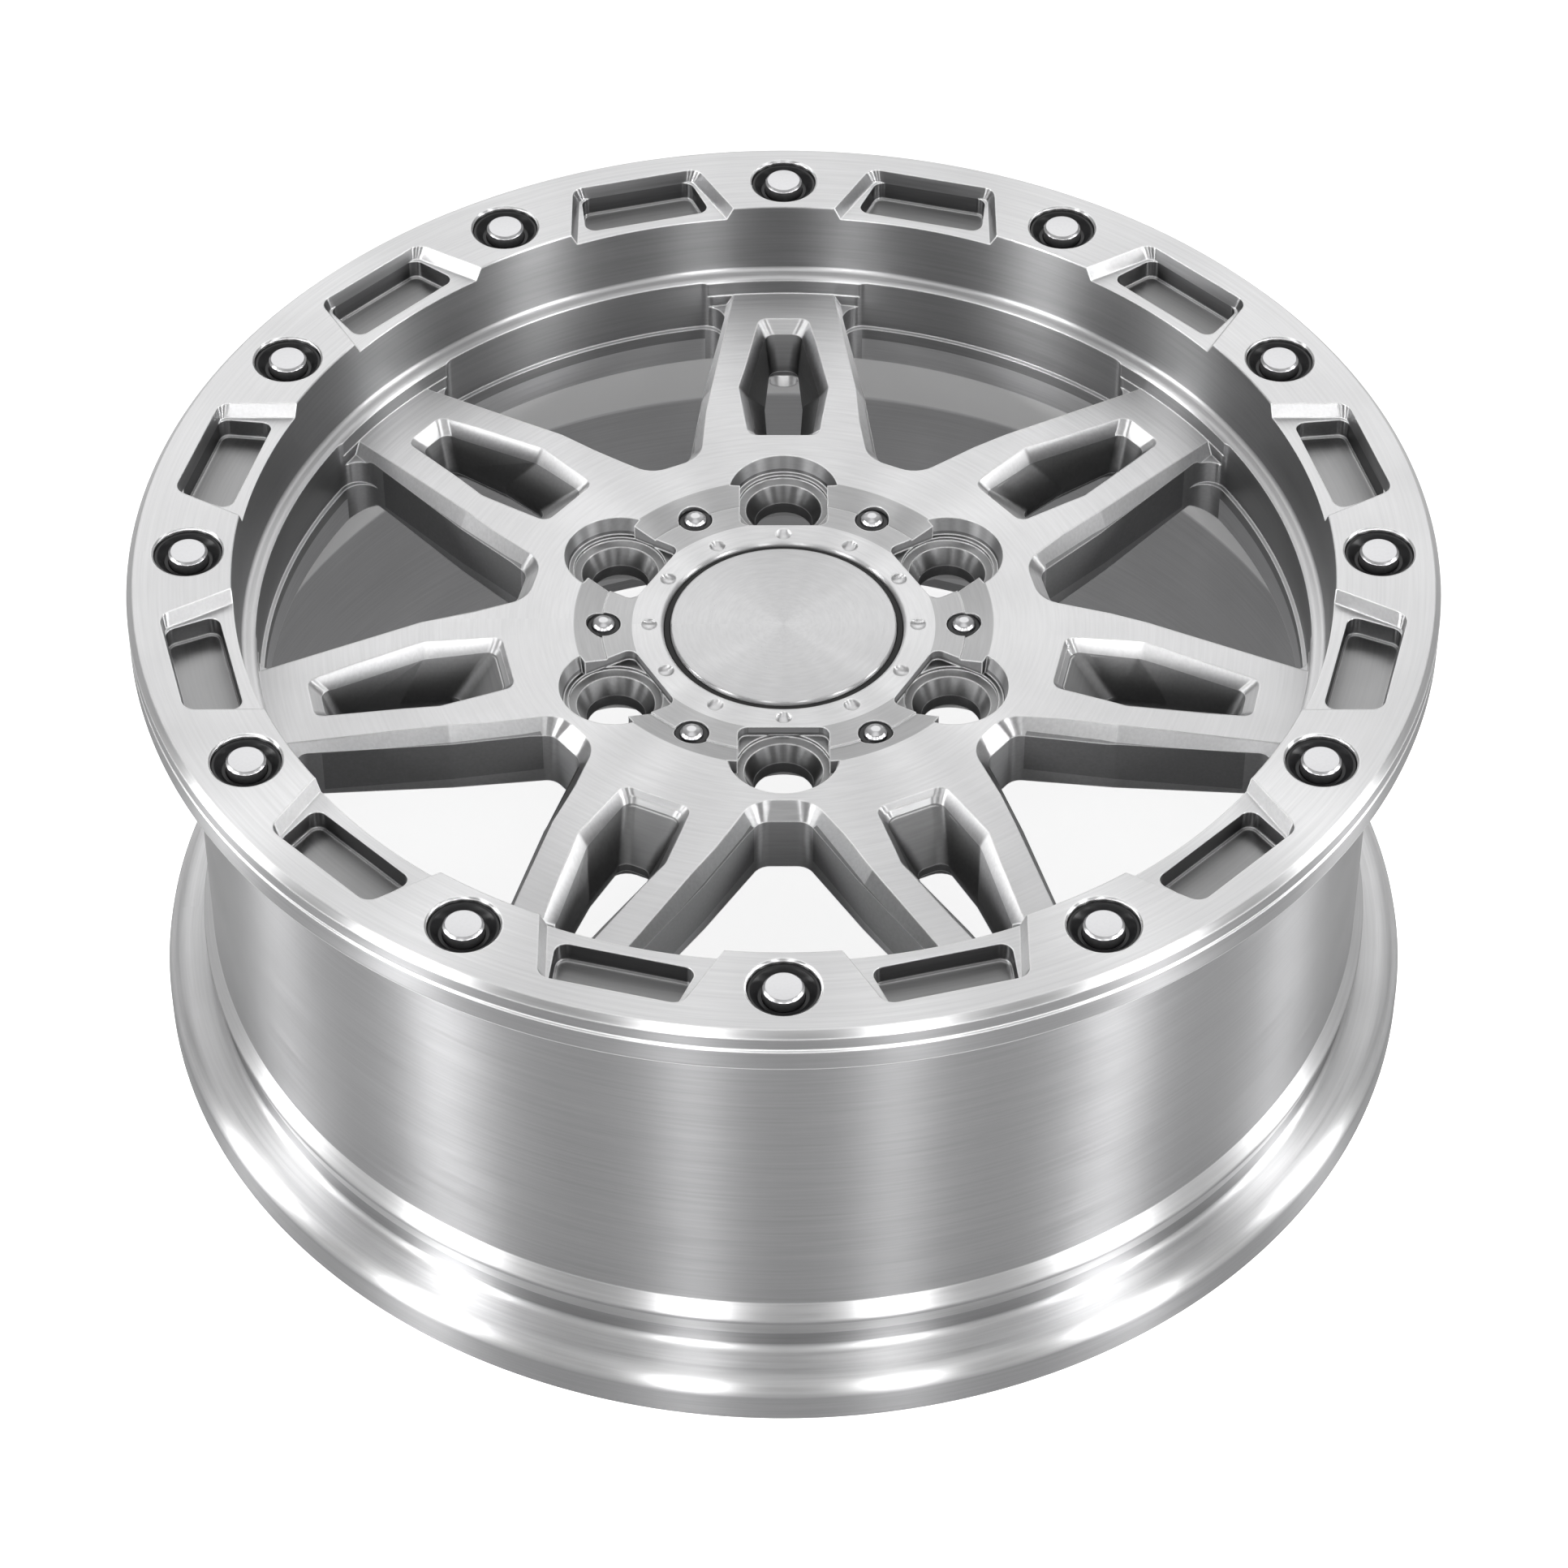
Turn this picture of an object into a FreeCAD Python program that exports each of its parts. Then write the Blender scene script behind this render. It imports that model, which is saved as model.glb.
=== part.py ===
# One-piece forged wheel with a bead-lock style outer ring, seven split spokes
# and six lug holes. Millimetres.
#
# Frame: the origin is the centre of the hub mounting pad, on the wheel's axis.
# +Z points out of the wheel's face, and the wheel lies on its inboard flange.
# Angles are counted from +X towards +Y.
import FreeCAD
import Part
import math
import os

# Rim, outside
flange_radius = 235.8
face_height = 62.0
overall_width = 206.0
ring_thickness = 17.9
rim_edge_width = 2.3
rim_edge_depth = 2.5
bead_seat_radius = 218.6
bead_seat_width = 19.0
bead_seat_taper = 5.0
hump_height = 4.0
hump_width = 16.0
hump_crest_share = 0.5
inboard_seat_width = 8.0
inboard_seat_radius = 218.3
inboard_lip_thickness = 22.0
inboard_lip_round = 8.0
inboard_lip_rise = 1.8
inboard_edge_width = 4.3
inboard_edge_depth = 5.0

# Rim, inside
ring_inner_radius = 198.2
rim_wall_radius = 197.0
bead_step_height = 32.0
bead_step_round = 2.8
rim_shelf_radius = 190.5
barrel_wall = 8.0
barrel_cone_height = -42.0
inboard_mouth_radius = 213.5

# Hub and spoke plate
hub_bore_radius = 39.05
hub_bore_depth = 11.5
cap_bore_radius = 38.0
pad_radius = 84.0
pad_relief = 1.0
rim_gusset_drop = 6.0
rim_gusset_radius = 180.0
plateau_height = 29.0
recess_radius = 76.4
recess_step = 0.8
collar_height = 26.3
collar_radius = 66.3
collar_round_width = 2.2
collar_round_depth = 1.4

# Spokes
spoke_count = 7
first_spoke_angle = 90.0
spoke_hub_radius = 90.0
spoke_hub_half = 31.0
crease_radius = 129.0
crease_half = 28.0
spoke_rim_radius = 188.0
spoke_rim_half = 18.5
facet_angle = 4.0

# Windows between the spokes
window_hub_end = 93.3
window_hub_bevel = 5.5
window_side_bevel = 4.6
window_rim_bevel = 3.2
window_bevel_depth = 5.5
window_bevel_depth_rim = 3.8
bevel_overlap = 0.25
window_hub_round = 6.5
window_crease_round = 9.0
window_corner_round = 8.0
window_wall_radius = 190.5

# Tapered pocket through each spoke
pocket_hub_end = 101.8
pocket_hub_half = 13.4
pocket_wide_radius = 130.0
pocket_wide_half = 16.4
pocket_rim_end = 174.0
pocket_rim_half = 9.2
pocket_round = 4.0
pocket_bevel_depth = 4.0
pocket_bevel_depth_rim = 4.4
pocket_side_bevel = 2.6
pocket_hub_bevel = 2.8
pocket_rim_bevel = 4.0
slot_top_height = 9.5
slot_hub_end = 119.0
slot_hub_half = 6.2
slot_wide_radius = 141.0
slot_wide_half = 7.4
slot_rim_end = 166.0
slot_rim_half = 5.4
slot_round = 4.4
slot_relief_height = 6.0
slot_relief_grow = 3.5

# Lug holes
lug_count = 6
first_lug_angle = 30.0
lug_circle_diameter = 139.7
lug_hole_radius = 10.75
lug_seat_radius = 14.2
lug_seat_angle = 30.0
lug_pocket_floor = 22.0
lug_pocket_radius = 20.4
lug_pocket_floor_radius = 18.8
lug_pocket_start = 3.6
socket_half_width = 16.3
socket_depth_inward = 16.0
socket_round = 3.5
lug_relief_radius = 11.6
lug_relief_mouth_radius = 18.4
lug_relief_height = 8.0

# Ring pockets
ring_pocket_count = 12
first_ring_pocket_angle = 15.0
ring_pocket_inner = 202.0
ring_pocket_outer = 222.0
ring_pocket_half_inner = 24.8
ring_pocket_half_outer = 21.8
ring_pocket_round = 4.0
ring_pocket_depth = 13.0
ledge_depth = 5.0
ledge_half_inner = 29.0
ledge_half_outer = 22.5
ledge_side_bevel = 2.4
ledge_outer_bevel = 1.2

# Ring bolts and their black cups
ring_bolt_count = 12
first_ring_bolt_angle = 0.0
ring_bolt_circle_radius = 214.3
ring_bolt_radius = 7.1
ring_bolt_bevel = 0.8
ring_bolt_proud = 0.4
cup_radius = 12.4
cup_below_face = 2.2
cup_thickness = 4.4

# Hub screws and their black washers
hub_screw_count = 6
first_hub_screw_angle = 0.0
hub_screw_circle_radius = 65.7
hub_screw_radius = 4.15
hub_screw_proud = 2.7
hub_screw_flat_radius = 2.2
hub_screw_dome = 1.6
hub_washer_radius = 6.2
hub_washer_thickness = 1.0
hub_washer_seat_height = 24.8

# Centre cap, its seal and its spring ring
cap_radius = 41.2
cap_seat_radius = 43.8
cap_thickness = 5.3
cap_skirt_wall = 3.0
cap_skirt_length = 9.0
cap_finger_count = 6
cap_finger_slot = 7.0
cap_core_thickness = 3.6
seal_depth_below_cap = 1.5
spring_ring_width = 1.8
spring_ring_groove_depth = 1.2
spring_ring_below_seat = 4.0

# Valve hole, behind the first spoke
valve_hole_radius = 5.65
valve_hole_height = -30.0

# Facets of a turned round
round_facets = 2

# Running gaps
fit_gap = 0.1
seal_gap = 0.1
through = 20.0

ORIGIN = FreeCAD.Vector(0, 0, 0)
AXIS = FreeCAD.Vector(0, 0, 1)
TANGENT = FreeCAD.Vector(0, 1, 0)

# Levels and places that follow from the sizes above
floor_height = face_height - overall_width
ring_back = face_height - ring_thickness
lip_height = floor_height + inboard_lip_thickness
barrel_radius = bead_seat_radius - bead_seat_width * math.tan(math.radians(bead_seat_taper))
cap_seat_height = collar_height - cap_thickness
lug_circle_radius = lug_circle_diameter / 2.0
spoke_half_pitch = math.radians(180.0 / spoke_count)
facet_slope = math.tan(math.radians(facet_angle))
cup_seat_height = face_height - cup_below_face - cup_thickness
bore_roof = face_height + through


def level(height):
    """Place a plan point at a height."""
    return lambda x, y: FreeCAD.Vector(x, y, height)


def section(radius, height):
    """Place a section point in the half plane through the axis."""
    return FreeCAD.Vector(radius, 0, height)


def rounded_wire(corners, place):
    """Closed outline through (x, y, round) corners, with a tangent arc at each round."""
    runs = []
    count = len(corners)
    for i in range(count):
        x, y, radius = corners[i]
        before = corners[i - 1]
        after = corners[(i + 1) % count]
        here = FreeCAD.Vector(x, y, 0)
        back = (FreeCAD.Vector(before[0], before[1], 0) - here).normalize()
        ahead = (FreeCAD.Vector(after[0], after[1], 0) - here).normalize()
        if radius <= 0:
            runs.append((here, None, here))
            continue
        half = back.getAngle(ahead) / 2.0
        reach = radius / math.tan(half)
        middle = (back + ahead).normalize() * (radius / math.sin(half) - radius)
        runs.append((here + back * reach, here + middle, here + ahead * reach))
    edges = []
    for i in range(count):
        start, middle, end = [p and place(p.x, p.y) for p in runs[i]]
        if middle is not None:
            edges.append(Part.Arc(start, middle, end).toShape())
        following = runs[(i + 1) % count][0]
        following = place(following.x, following.y)
        if end.distanceToPoint(following) > 1e-6:
            edges.append(Part.LineSegment(end, following).toShape())
    return Part.Wire(edges)


def revolved(corners):
    """Solid of revolution about the wheel's axis of a section given as (radius, height, round)."""
    return Part.Face(rounded_wire(corners, section)).revolve(ORIGIN, AXIS, 360)


def prism(corners, low, high):
    """Upright prism of a plan outline between two heights."""
    face = Part.Face(rounded_wire(corners, level(low)))
    return face.extrude(FreeCAD.Vector(0, 0, high - low))


def flared(lower, low, upper, high):
    """Solid between two outlines of the same corners at two heights."""
    wires = [rounded_wire(lower, level(low)), rounded_wire(upper, level(high))]
    return Part.makeLoft(wires, True, True)


def around(shape, count, first_angle):
    """Copies of a shape, evenly turned about the wheel's axis."""
    copies = []
    for i in range(count):
        copy = shape.copy()
        copy.rotate(ORIGIN, AXIS, first_angle + 360.0 * i / count)
        copies.append(copy)
    return copies


def cylinder(radius, low, high, x=0.0):
    return Part.makeCylinder(radius, high - low, FreeCAD.Vector(x, 0, low))


def cone(low_radius, low, high_radius, high, x=0.0):
    return Part.makeCone(low_radius, high_radius, high - low, FreeCAD.Vector(x, 0, low))


def mirrored(corners):
    """Close a half outline, given hub end first on the + side, by its mirror image."""
    return corners + [(x, -y, r) for x, y, r in reversed(corners)]


def crossing(a, b, x):
    """Point at x on the line through a and b."""
    share = (x - a[0]) / (b[0] - a[0])
    return (x, a[1] + share * (b[1] - a[1]))


def quarter_round(radius, height, size, first_angle, last_angle):
    """Facet points of a turned round about a centre, angles in degrees in the section."""
    points = []
    for i in range(round_facets + 1):
        angle = math.radians(first_angle + (last_angle - first_angle) * i / round_facets)
        points.append((radius + size * math.cos(angle), height + size * math.sin(angle), 0))
    return points


def wheel_section():
    """Half section of the forging: rim, spoke plate and hub, before any milling."""
    seat_end = ring_back - bead_seat_width
    seat_top = lip_height + inboard_seat_width
    hump_top = seat_top + hump_width
    barrel_inner = barrel_radius - barrel_wall
    hub = [
        (hub_bore_radius, 0, 0),
        (hub_bore_radius, hub_bore_depth, 0),
        (cap_bore_radius, hub_bore_depth, 0),
        (cap_bore_radius, cap_seat_height, 0),
        (cap_seat_radius, cap_seat_height, 0),
        (cap_seat_radius, collar_height - collar_round_depth, 0),
        (cap_seat_radius + collar_round_width, collar_height, 0),
        (collar_radius, collar_height, 0),
        (collar_radius, collar_height - recess_step, 0),
        (recess_radius, plateau_height, 0),
    ]
    bead_centre = bead_step_height - bead_step_round
    inner_wall = [(rim_shelf_radius, plateau_height, 0)]
    inner_wall += quarter_round(rim_shelf_radius + bead_step_round, bead_centre, bead_step_round, 180, 90)
    inner_wall += [
        (rim_wall_radius, bead_step_height, 0),
        (ring_inner_radius, face_height, 0),
    ]
    outer_wall = [
        (flange_radius - rim_edge_width, face_height, 0),
        (flange_radius, face_height - rim_edge_depth, 0),
        (flange_radius, ring_back, 0),
        (bead_seat_radius, ring_back, 0),
        (barrel_radius, seat_end, 0),
        (barrel_radius, hump_top, 0),
        (barrel_radius + hump_height, hump_top - hump_width * hump_crest_share, 0),
        (inboard_seat_radius, seat_top, 0),
        (inboard_seat_radius, lip_height - inboard_lip_rise, 0),
    ]
    lip_centre = lip_height - inboard_lip_round
    outer_wall += quarter_round(flange_radius - inboard_lip_round, lip_centre, inboard_lip_round, 90, 0)
    barrel_inside = [
        (flange_radius, floor_height + inboard_edge_depth, 0),
        (flange_radius - inboard_edge_width, floor_height, 0),
        (inboard_mouth_radius, floor_height, 0),
        (barrel_inner, seat_top, 0),
        (barrel_inner, barrel_cone_height, 0),
        (window_wall_radius, -rim_gusset_drop, 0),
        (rim_gusset_radius, pad_relief, 0),
        (pad_radius + pad_relief, pad_relief, 0),
        (pad_radius, 0, 0),
    ]
    return hub + inner_wall + outer_wall + barrel_inside


def spoke_edge(radius, grow_hub, grow_rim):
    """Half width of a spoke's face at a radius, grown by a bevel that changes along it."""
    hub = (spoke_hub_radius, spoke_hub_half + grow_hub)
    crease = (crease_radius, crease_half + grow_rim)
    rim = (spoke_rim_radius, spoke_rim_half + grow_rim)
    if radius <= crease_radius:
        return crossing(hub, crease, radius)[1]
    return crossing(crease, rim, radius)[1]


def window_point(radius, half):
    """A spoke's edge point, seen from the middle line of the window beside it."""
    along = radius * math.cos(spoke_half_pitch) + half * math.sin(spoke_half_pitch)
    across = radius * math.sin(spoke_half_pitch) - half * math.cos(spoke_half_pitch)
    return (along, across)


def window_outline(share):
    """Window outline: share 1 is the upright walls, share 0 the bevel's edge on the face."""
    hub_grow = window_side_bevel * share
    rim_grow = window_rim_bevel * share
    reach = flange_radius
    near = window_point(spoke_hub_radius, spoke_edge(spoke_hub_radius, hub_grow, rim_grow))
    crease = window_point(crease_radius, spoke_edge(crease_radius, hub_grow, rim_grow))
    far = window_point(reach, spoke_edge(reach, hub_grow, rim_grow))
    hub = crossing(near, crease, window_hub_end + window_hub_bevel * share)
    return mirrored([
        (hub[0], hub[1], window_hub_round + window_hub_bevel * (1.0 - share)),
        (crease[0], crease[1], window_crease_round),
        (far[0], far[1], 0),
    ])


def corner_rounded(cutter, wall_radius, low, high):
    """Trim a window to the rim wall and round the upright corners that this leaves."""
    trimmed = cutter.common(cylinder(wall_radius, low, high)).Solids[0]
    corners = []
    for edge in trimmed.Edges:
        ends = [v.Point for v in edge.Vertexes]
        if len(ends) < 2:
            continue
        run = ends[1] - ends[0]
        upright = math.hypot(run.x, run.y) < 1e-6
        if upright and abs(math.hypot(ends[0].x, ends[0].y) - wall_radius) < 1e-3:
            corners.append(edge)
    return trimmed.makeFillet(window_corner_round, corners)


def window_cutters():
    """One window: the opening with its upright walls, and the bevelled edge."""
    opening = corner_rounded(prism(window_outline(1.0), floor_height, face_height),
                             window_wall_radius, floor_height, face_height)
    bevel_start = window_hub_end + window_hub_bevel
    facet_end = plateau_height - facet_slope * (spoke_rim_radius - crease_radius)
    hub_level = plateau_height - window_bevel_depth
    rim_level = facet_end - window_bevel_depth_rim
    tilt = math.degrees(math.atan((hub_level - rim_level) / (window_wall_radius - bevel_start)))
    bevel = flared(window_outline(1.0 + bevel_overlap), hub_level - bevel_overlap * window_bevel_depth,
                   window_outline(-1.0), hub_level + 2.0 * window_bevel_depth)
    bevel.rotate(FreeCAD.Vector(bevel_start, 0, hub_level), TANGENT, tilt)
    bevel = bevel.common(cylinder(window_wall_radius, floor_height, face_height))
    return [opening, bevel]


def facet_cutter():
    """What is milled off a spoke's face from the crease out to the rim."""
    reach = rim_shelf_radius - crease_radius + through
    half = crease_half + window_side_bevel + through
    block = Part.makeBox(reach, 2 * half, through, FreeCAD.Vector(crease_radius, -half, plateau_height))
    block.rotate(FreeCAD.Vector(crease_radius, 0, plateau_height), TANGENT, facet_angle)
    return block.common(cylinder(rim_shelf_radius, 0, face_height))


def pocket_outline(share):
    """Face outline of a spoke's pocket, with the given share of the bevel taken off."""
    side = pocket_side_bevel * share
    return mirrored([
        (pocket_hub_end + pocket_hub_bevel * share, pocket_hub_half - side, pocket_round),
        (pocket_wide_radius, pocket_wide_half - side, pocket_round),
        (pocket_rim_end - pocket_rim_bevel * share, pocket_rim_half - side, pocket_round),
    ])


def slot_outline(grow=0.0):
    """Plan of a spoke's through slot, or of the relief round it that is larger by grow."""
    return mirrored([
        (slot_hub_end - grow, slot_hub_half + grow, slot_round + grow),
        (slot_wide_radius, slot_wide_half + grow, slot_round + grow),
        (slot_rim_end + grow, slot_rim_half + grow, slot_round + grow),
    ])


def pocket_cutters():
    """A spoke's pocket: bevelled edge, walls tapering to a slot, the slot, its relief behind."""
    facet_end = plateau_height - facet_slope * (pocket_rim_end - crease_radius)
    hub_level = plateau_height - pocket_bevel_depth
    rim_level = facet_end - pocket_bevel_depth_rim
    run = pocket_rim_end - pocket_hub_end
    tilt = math.degrees(math.atan((hub_level - rim_level) / run))
    rise = 2.0 * pocket_bevel_depth
    walls = pocket_outline(1.0)
    hinge = FreeCAD.Vector(pocket_hub_end, 0, hub_level)
    bevel = flared(walls, hub_level, pocket_outline(-1.0), hub_level + rise)
    bevel.rotate(hinge, TANGENT, tilt)
    top = rounded_wire(walls, level(hub_level))
    top.rotate(hinge, TANGENT, tilt)
    taper = Part.makeLoft([rounded_wire(slot_outline(), level(slot_top_height)), top], True, True)
    slot = prism(slot_outline(), floor_height, slot_top_height)
    relief = prism(slot_outline(slot_relief_grow), floor_height, slot_relief_height)
    return [bevel, taper, slot, relief]


def lug_cutters():
    """A lug hole at the +X side: pocket, socket clearance, seat, hole and relief behind it."""
    centre = lug_circle_radius
    seat_depth = (lug_seat_radius - lug_hole_radius) / math.tan(math.radians(lug_seat_angle))
    rise = bore_roof - lug_pocket_floor
    flare = (lug_pocket_radius - lug_pocket_floor_radius) / (plateau_height - lug_pocket_floor)
    pocket = cone(lug_pocket_floor_radius, lug_pocket_floor,
                  lug_pocket_floor_radius + flare * rise, bore_roof, centre)
    reach = lug_pocket_radius + through
    keep = Part.makeBox(reach, 2 * reach, bore_roof, FreeCAD.Vector(centre + lug_pocket_start, -reach, 0))
    pocket = pocket.common(keep)
    socket = prism(mirrored([
        (centre - socket_depth_inward, socket_half_width, socket_round),
        (centre + lug_pocket_start, socket_half_width, 0),
    ]), lug_pocket_floor, bore_roof)
    seat = cone(lug_hole_radius, lug_pocket_floor - seat_depth, lug_seat_radius, lug_pocket_floor, centre)
    hole = cylinder(lug_hole_radius, -through, lug_pocket_floor, centre)
    relief = cone(lug_relief_mouth_radius, 0, lug_relief_radius, lug_relief_height, centre)
    return [pocket, socket, seat, hole, relief]


def ring_pocket_cutters():
    """A ring pocket at the +X side: deep pocket, and a shallow ledge that opens inwards."""
    floor = face_height - ring_pocket_depth
    deep = prism(mirrored([
        (ring_pocket_inner, ring_pocket_half_inner, ring_pocket_round),
        (ring_pocket_outer, ring_pocket_half_outer, ring_pocket_round),
    ]), floor, face_height)
    inner = ring_inner_radius - through
    spread = (ledge_half_inner - ledge_half_outer) / (ring_pocket_outer - ring_inner_radius)

    def ledge(share):
        outer = ring_pocket_outer + ledge_outer_bevel * share
        side = ledge_side_bevel * share
        inner_half = ledge_half_inner + spread * through + side
        return mirrored([
            (inner, inner_half, 0),
            (outer, ledge_half_outer + side, 0),
        ])

    low = face_height - ledge_depth
    return [deep, flared(ledge(0.0), low, ledge(2.0), low + 2.0 * ledge_depth)]


def bolt_recess_cutter():
    """A ring bolt's recess at the +X side."""
    return cylinder(cup_radius + fit_gap, cup_seat_height, bore_roof, ring_bolt_circle_radius)


def hub_screw_cutter():
    """A hub screw's seat at the +X side."""
    return cylinder(hub_washer_radius + fit_gap, hub_washer_seat_height, bore_roof,
                    hub_screw_circle_radius)


def valve_cutter():
    """Valve hole through the barrel wall, square to the axis."""
    hole = Part.makeCylinder(valve_hole_radius, flange_radius - window_wall_radius + through,
                             FreeCAD.Vector(window_wall_radius, 0, valve_hole_height),
                             FreeCAD.Vector(1, 0, 0))
    hole.rotate(ORIGIN, AXIS, first_spoke_angle)
    return hole


def forged_wheel():
    """The one-piece wheel: the turned forging with everything that is milled from it."""
    window_angle = first_spoke_angle + 180.0 / spoke_count
    milling = [
        ([facet_cutter()], spoke_count, first_spoke_angle),
        (window_cutters(), spoke_count, window_angle),
        (pocket_cutters(), spoke_count, first_spoke_angle),
        (lug_cutters(), lug_count, first_lug_angle),
        (ring_pocket_cutters(), ring_pocket_count, first_ring_pocket_angle),
        ([bolt_recess_cutter()], ring_bolt_count, first_ring_bolt_angle),
        ([hub_screw_cutter()], hub_screw_count, first_hub_screw_angle),
    ]
    wheel = revolved(wheel_section()).cut(valve_cutter())
    for cutters, count, first_angle in milling:
        for cutter in cutters:
            wheel = wheel.cut(around(cutter, count, first_angle))
    return wheel


def ring_bolt():
    """Flat round bolt head with a bevelled edge, standing in its recess at the +X side."""
    top = face_height + ring_bolt_proud
    bolt = revolved([
        (0, cup_seat_height, 0),
        (ring_bolt_radius, cup_seat_height, 0),
        (ring_bolt_radius, top - ring_bolt_bevel, 0),
        (ring_bolt_radius - ring_bolt_bevel, top, 0),
        (0, top, 0),
    ])
    bolt.translate(FreeCAD.Vector(ring_bolt_circle_radius, 0, 0))
    return bolt


def collar_ring(inner, outer, low, thickness, x):
    """Flat ring round a bolt or screw at the +X side."""
    return cylinder(outer, low, low + thickness, x).cut(cylinder(inner, low, low + thickness, x))


def ring_bolt_cup():
    """Black cup that fills a ring bolt's recess round its head."""
    return collar_ring(ring_bolt_radius + fit_gap, cup_radius, cup_seat_height, cup_thickness,
                       ring_bolt_circle_radius)


def hub_screw():
    """Round screw with a domed end, at the +X side."""
    head_seat = hub_washer_seat_height + hub_washer_thickness
    top = head_seat + hub_screw_proud
    screw = revolved([
        (0, hub_washer_seat_height, 0),
        (hub_screw_radius, hub_washer_seat_height, 0),
        (hub_screw_radius, top - hub_screw_dome, 0),
        (hub_screw_flat_radius, top, 0),
        (0, top, 0),
    ])
    screw.translate(FreeCAD.Vector(hub_screw_circle_radius, 0, 0))
    return screw


def hub_screw_washer():
    """Black washer round a hub screw."""
    return collar_ring(hub_screw_radius + fit_gap, hub_washer_radius, hub_washer_seat_height,
                       hub_washer_thickness, hub_screw_circle_radius)


def centre_cap():
    """Turned cap with a slotted skirt, grooved outside for the spring ring."""
    skirt_end = cap_seat_height - cap_skirt_length
    skirt_radius = cap_bore_radius - fit_gap
    skirt_inner = skirt_radius - cap_skirt_wall
    groove_top = cap_seat_height - spring_ring_below_seat
    groove_low = groove_top - spring_ring_width
    groove_radius = skirt_radius - spring_ring_groove_depth
    cap = revolved([
        (0, collar_height - cap_core_thickness, 0),
        (skirt_inner, collar_height - cap_core_thickness, 0),
        (skirt_inner, skirt_end, 0),
        (skirt_radius, skirt_end, 0),
        (skirt_radius, groove_low, 0),
        (groove_radius, groove_low, 0),
        (groove_radius, groove_top, 0),
        (skirt_radius, groove_top, 0),
        (skirt_radius, cap_seat_height, 0),
        (cap_radius, cap_seat_height, 0),
        (cap_radius, collar_height, 0),
        (0, collar_height, 0),
    ])
    slot = Part.makeBox(through, cap_finger_slot, cap_skirt_length,
                        FreeCAD.Vector(skirt_inner - cap_skirt_wall, -cap_finger_slot / 2.0, skirt_end))
    return cap.cut(around(slot, cap_finger_count, 0.0))


def cap_seal():
    """Black seal that fills the gap between the cap's edge and its seat."""
    inner = cap_radius + seal_gap
    outer = cap_seat_radius - seal_gap
    top = collar_height - seal_depth_below_cap
    return revolved([
        (inner, cap_seat_height, 0),
        (outer, cap_seat_height, 0),
        (outer, top, 0),
        (inner, top, 0),
    ])


def cap_spring_ring():
    """Square wire ring in the cap's groove, which grips the cap bore."""
    outer = cap_bore_radius - fit_gap / 2.0
    inner = outer - spring_ring_groove_depth
    top = cap_seat_height - spring_ring_below_seat - fit_gap
    low = cap_seat_height - spring_ring_below_seat - spring_ring_width + fit_gap
    return revolved([(inner, low, 0), (outer, low, 0), (outer, top, 0), (inner, top, 0)])


def build():
    """Every node of the wheel, by name."""
    return {
        "forged_wheel": forged_wheel(),
        "ring_bolts": Part.Compound(around(ring_bolt(), ring_bolt_count, first_ring_bolt_angle)),
        "ring_bolt_cups": Part.Compound(around(ring_bolt_cup(), ring_bolt_count, first_ring_bolt_angle)),
        "hub_screws": Part.Compound(around(hub_screw(), hub_screw_count, first_hub_screw_angle)),
        "hub_screw_washers": Part.Compound(around(hub_screw_washer(), hub_screw_count, first_hub_screw_angle)),
        "centre_cap": centre_cap(),
        "cap_seal": cap_seal(),
        "cap_spring_ring": cap_spring_ring(),
    }


os.makedirs("parts", exist_ok=True)
for name, shape in build().items():
    shape.exportStep("parts/" + name + ".step")
    print(name, len(shape.Solids), "solid(s),", round(shape.Volume), "mm3, valid", shape.isValid())
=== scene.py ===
# %% [markdown]
# # A one-piece forged wheel
#
# The real wheel is one block of aluminium: forged, turned on a lathe, then milled. This lesson
# makes it the same way. A section is drawn and spun, as on the lathe, and every window, pocket
# and hole is then cut out with a cutter of the right shape, as on the mill. The bolts, screws
# and the centre cap are turned pieces of their own. Last come the finishes, the light and the
# camera.

import math

import bpy
from mathutils import Matrix, Vector


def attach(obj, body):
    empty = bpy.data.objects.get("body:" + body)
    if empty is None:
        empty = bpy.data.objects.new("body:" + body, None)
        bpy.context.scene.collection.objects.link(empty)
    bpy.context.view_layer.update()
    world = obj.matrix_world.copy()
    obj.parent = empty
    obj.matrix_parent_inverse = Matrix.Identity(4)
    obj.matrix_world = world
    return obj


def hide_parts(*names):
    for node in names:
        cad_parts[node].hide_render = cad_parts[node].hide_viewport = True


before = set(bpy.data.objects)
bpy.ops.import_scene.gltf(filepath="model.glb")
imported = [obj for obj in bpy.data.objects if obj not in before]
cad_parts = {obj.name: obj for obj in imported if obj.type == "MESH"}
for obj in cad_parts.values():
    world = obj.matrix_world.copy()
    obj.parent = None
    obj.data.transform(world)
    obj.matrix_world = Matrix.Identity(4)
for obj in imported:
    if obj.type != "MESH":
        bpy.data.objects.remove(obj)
bpy.context.view_layer.update()

# %% [markdown]
# ## Drawing and cutting
#
# Sizes are millimetres, as on a drawing, and `MM` turns them into Blender's metres. The origin
# is the centre of the hub's mounting pad, and the wheel's face looks up. A line is drawn as by
# hand, one extruded vertex after another, and a few helpers turn such lines into turned bodies,
# blocks and tapered blocks.

# %% Helpers for drawing
MM = 0.001


def choose(*pieces):
    """Select these pieces and nothing else."""
    bpy.ops.object.select_all(action="DESELECT")
    for piece in pieces:
        piece.select_set(True)
    bpy.context.view_layer.objects.active = pieces[0]


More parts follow.
